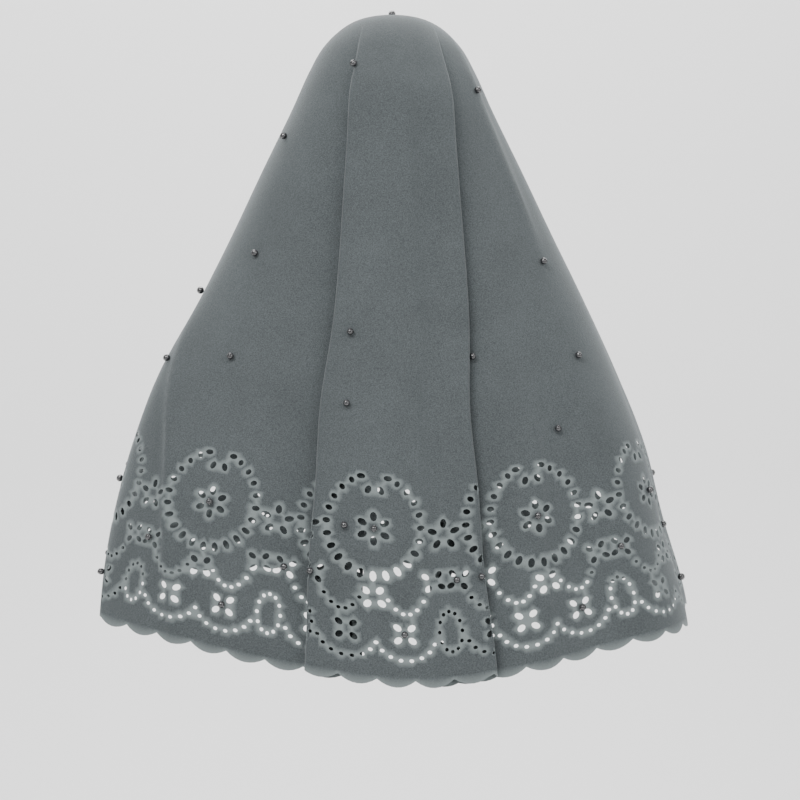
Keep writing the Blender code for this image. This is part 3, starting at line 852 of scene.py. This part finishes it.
def bead_material():
    """Polished black resin under a clear coat."""
    made, nodes, links, shader = new_material("bead_gloss")
    place = nodes.new("ShaderNodeTexCoord").outputs["Object"]
    cloud = add_noise(nodes, links, place, 160, 2)
    dark, light = (0.006, 0.006, 0.007), (0.018, 0.018, 0.021)
    tint = add_ramp(nodes, links, cloud.outputs["Fac"], 0.35, 0.7, dark, light)
    links.new(tint.outputs["Color"], shader.inputs["Base Color"])
    shader.inputs["Roughness"].default_value = 0.16
    shader.inputs["Coat Weight"].default_value = 1.0
    shader.inputs["Coat Roughness"].default_value = 0.03
    made.diffuse_color = (0.012, 0.012, 0.014, 1)
    return made


def thread_material():
    """Black sewing thread."""
    made, nodes, links, shader = new_material("thread")
    place = nodes.new("ShaderNodeTexCoord").outputs["Object"]
    fuzz = add_noise(nodes, links, place, 2500, 2)
    tint = add_ramp(nodes, links, fuzz.outputs["Fac"], 0.3, 0.7, (0.018, 0.020, 0.022), (0.045, 0.050, 0.052))
    links.new(tint.outputs["Color"], shader.inputs["Base Color"])
    shader.inputs["Roughness"].default_value = 0.7
    return made


bead_gloss = bead_material()
thread = thread_material()
print("materials:", bead_gloss.name, thread.name)

# %% Geometry Nodes tree that sews a bead on every point


def node_input(tree, name, kind, value):
    """Add a named input to a tree, and return its identifier."""
    socket = tree.interface.new_socket(name=name, in_out="INPUT", socket_type=kind)
    socket.default_value = value
    return socket.identifier


def bead_tree():
    """The tree: a ball with a loop of thread over it, on each point of the mesh."""
    tree = bpy.data.node_groups.new("sewn_beads", "GeometryNodeTree")
    tree.interface.new_socket(name="Geometry", in_out="INPUT", socket_type="NodeSocketGeometry")
    identifiers = {
        "Bead Diameter": node_input(tree, "Bead Diameter", "NodeSocketFloat", BEAD_DIAMETER),
        "Thread Radius": node_input(tree, "Thread Radius", "NodeSocketFloat", 0.00022),
    }
    tree.interface.new_socket(name="Geometry", in_out="OUTPUT", socket_type="NodeSocketGeometry")
    nodes, links = tree.nodes, tree.links
    inputs = nodes.new("NodeGroupInput")
    outputs = nodes.new("NodeGroupOutput")

    radius = nodes.new("ShaderNodeMath")
    radius.operation = "MULTIPLY"
    radius.inputs[1].default_value = 0.5
    links.new(inputs.outputs["Bead Diameter"], radius.inputs[0])
    ball = nodes.new("GeometryNodeMeshUVSphere")
    ball.inputs["Segments"].default_value = 28
    ball.inputs["Rings"].default_value = 18
    links.new(radius.outputs[0], ball.inputs["Radius"])
    ball_smooth = nodes.new("GeometryNodeSetShadeSmooth")
    links.new(ball.outputs["Mesh"], ball_smooth.inputs["Geometry"])
    ball_look = nodes.new("GeometryNodeSetMaterial")
    ball_look.inputs["Material"].default_value = bead_gloss
    links.new(ball_smooth.outputs["Geometry"], ball_look.inputs["Geometry"])

    loop_size = nodes.new("ShaderNodeMath")
    loop_size.operation = "MULTIPLY"
    loop_size.inputs[1].default_value = 0.52
    links.new(inputs.outputs["Bead Diameter"], loop_size.inputs[0])
    loop = nodes.new("GeometryNodeCurvePrimitiveCircle")
    loop.inputs["Resolution"].default_value = 20
    links.new(loop_size.outputs[0], loop.inputs["Radius"])
    section = nodes.new("GeometryNodeCurvePrimitiveCircle")
    section.inputs["Resolution"].default_value = 6
    links.new(inputs.outputs["Thread Radius"], section.inputs["Radius"])
    strand = nodes.new("GeometryNodeCurveToMesh")
    links.new(loop.outputs["Curve"], strand.inputs["Curve"])
    links.new(section.outputs["Curve"], strand.inputs["Profile Curve"])
    upright = nodes.new("GeometryNodeTransform")
    upright.inputs["Rotation"].default_value = (math.pi / 2, 0, 0)
    links.new(strand.outputs["Mesh"], upright.inputs["Geometry"])
    strand_look = nodes.new("GeometryNodeSetMaterial")
    strand_look.inputs["Material"].default_value = thread
    links.new(upright.outputs["Geometry"], strand_look.inputs["Geometry"])

    both = nodes.new("GeometryNodeJoinGeometry")
    links.new(ball_look.outputs["Geometry"], both.inputs["Geometry"])
    links.new(strand_look.outputs["Geometry"], both.inputs["Geometry"])
    facing = nodes.new("GeometryNodeInputNamedAttribute")
    facing.data_type = "FLOAT_VECTOR"
    facing.inputs["Name"].default_value = "facing"
    stand = nodes.new("FunctionNodeAlignRotationToVector")
    stand.axis = "Z"
    links.new(facing.outputs["Attribute"], stand.inputs["Vector"])
    placed = nodes.new("GeometryNodeInstanceOnPoints")
    links.new(inputs.outputs["Geometry"], placed.inputs["Points"])
    links.new(both.outputs["Geometry"], placed.inputs["Instance"])
    links.new(stand.outputs["Rotation"], placed.inputs["Rotation"])
    real = nodes.new("GeometryNodeRealizeInstances")
    links.new(placed.outputs["Instances"], real.inputs["Geometry"])
    links.new(real.outputs["Geometry"], outputs.inputs["Geometry"])
    return tree, identifiers


def make_beads():
    """One mesh with every bead on the veil."""
    mesh = bpy.data.meshes.new("bead_points")
    mesh.from_pydata([seat for seat, _ in seats], [], [])
    facing = mesh.attributes.new("facing", "FLOAT_VECTOR", "POINT")
    facing.data.foreach_set("vector", [part for _, out in seats for part in out])
    beads = bpy.data.objects.new("sewn_beads", mesh)
    bpy.context.scene.collection.objects.link(beads)
    tree, identifiers = bead_tree()
    sewn = beads.modifiers.new("sewn", "NODES")
    sewn.node_group = tree
    sewn[identifiers["Bead Diameter"]] = BEAD_DIAMETER
    apply_modifiers(beads)
    return beads


beads = make_beads()
print("bead mesh:", len(beads.data.polygons), "faces")

# %% [markdown]
# ## Studio
# The photo is a plain product shot on white, straight on from behind and level with the middle of the
# veil. A long lens, a pale floor that curves up into a backdrop, and large soft lights give the same
# even light. Two smaller lights above the camera make the pair of bright spots on each bead.

# %% Floor, lights and camera
FLOOR_DROP = 1.45
CAMERA_AWAY = 2.5
PHOTO_SCALE = 0.00108
PHOTO_SIDE = 800
CROWN_IN_PHOTO = (392, 18)


def make_floor():
    """A pale floor that curves up into a backdrop on the far side of the veil."""
    shape = bmesh.new()
    bend, curve = -1.6, 0.9
    profile = [(6.0, 0.0), (bend, 0.0)]
    for degrees in range(9, 91, 9):
        angle = math.radians(degrees)
        profile.append((bend - curve * math.sin(angle), curve - curve * math.cos(angle)))
    profile.append((bend - curve, 5.0))
    rows = []
    for x in (-7.0, 7.0):
        rows.append([shape.verts.new((x, y, z - FLOOR_DROP)) for y, z in profile])
    for first in range(len(profile) - 1):
        shape.faces.new((rows[0][first], rows[0][first + 1], rows[1][first + 1], rows[1][first]))
    bmesh.ops.recalc_face_normals(shape, faces=shape.faces[:])
    mesh = bpy.data.meshes.new("studio_floor")
    shape.to_mesh(mesh)
    shape.free()
    mesh.shade_smooth()
    floor = bpy.data.objects.new("studio_floor", mesh)
    bpy.context.scene.collection.objects.link(floor)
    pale = bpy.data.materials.new("pale_floor")
    pale.use_nodes = True
    shader = pale.node_tree.nodes["Principled BSDF"]
    shader.inputs["Base Color"].default_value = (0.86, 0.86, 0.86, 1)
    shader.inputs["Roughness"].default_value = 0.9
    mesh.materials.append(pale)
    return floor


def add_light(name, place, aim, size, watts):
    """A square soft light at a place, aimed at a point."""
    lamp = bpy.data.lights.new(name, "AREA")
    lamp.size = size
    lamp.energy = watts
    made = bpy.data.objects.new(name, lamp)
    made.location = place
    made.rotation_mode = "QUATERNION"
    made.rotation_quaternion = (Vector(aim) - Vector(place)).to_track_quat("-Z", "Y")
    bpy.context.scene.collection.objects.link(made)


def make_camera():
    """The camera, level and square on to the back, framed as the photo is."""
    across, down = CROWN_IN_PHOTO
    middle = PHOTO_SIDE / 2
    lens = bpy.data.cameras.new("camera")
    lens.sensor_width = 36
    lens.lens = 36 * CAMERA_AWAY / (PHOTO_SIDE * PHOTO_SCALE)
    camera = bpy.data.objects.new("camera", lens)
    camera.location = (-(middle - across) * PHOTO_SCALE, CAMERA_AWAY, -(middle - down) * PHOTO_SCALE)
    camera.rotation_euler = (math.pi / 2, 0, math.pi)
    bpy.context.scene.collection.objects.link(camera)
    bpy.context.scene.camera = camera


make_floor()
middle_of_veil = (0, 0, -0.38)
add_light("key", (1.3, 2.3, 1.5), middle_of_veil, 1.4, 95)
add_light("fill", (-1.9, 1.9, 0.5), middle_of_veil, 2.0, 42)
add_light("front_fill", (0.4, -2.4, 1.4), middle_of_veil, 2.0, 70)
add_light("spark_left", (0.45, 2.2, 1.7), middle_of_veil, 0.22, 14)
add_light("spark_right", (-0.35, 2.2, 1.7), middle_of_veil, 0.22, 14)
add_light("backdrop_light", (0.0, -1.3, 2.4), (0, -2.6, 0.2), 2.6, 110)
world = bpy.data.worlds.new("studio_air")
world.use_nodes = True
world.node_tree.nodes["Background"].inputs["Color"].default_value = (1, 1, 1, 1)
world.node_tree.nodes["Background"].inputs["Strength"].default_value = 0.75
bpy.context.scene.world = world
make_camera()
print("camera at", tuple(round(value, 3) for value in bpy.context.scene.camera.location))

# %% [markdown]
# ## Bodies
# Each piece is tied to the body of the solid model that it belongs to and stands in for its plain
# solids.

# %% Pieces and bodies
bead_nodes = [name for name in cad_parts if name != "scarf_cloth"]
for piece in (veil, beads):
    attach(piece, "root")
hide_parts("scarf_cloth")
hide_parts(*bead_nodes)
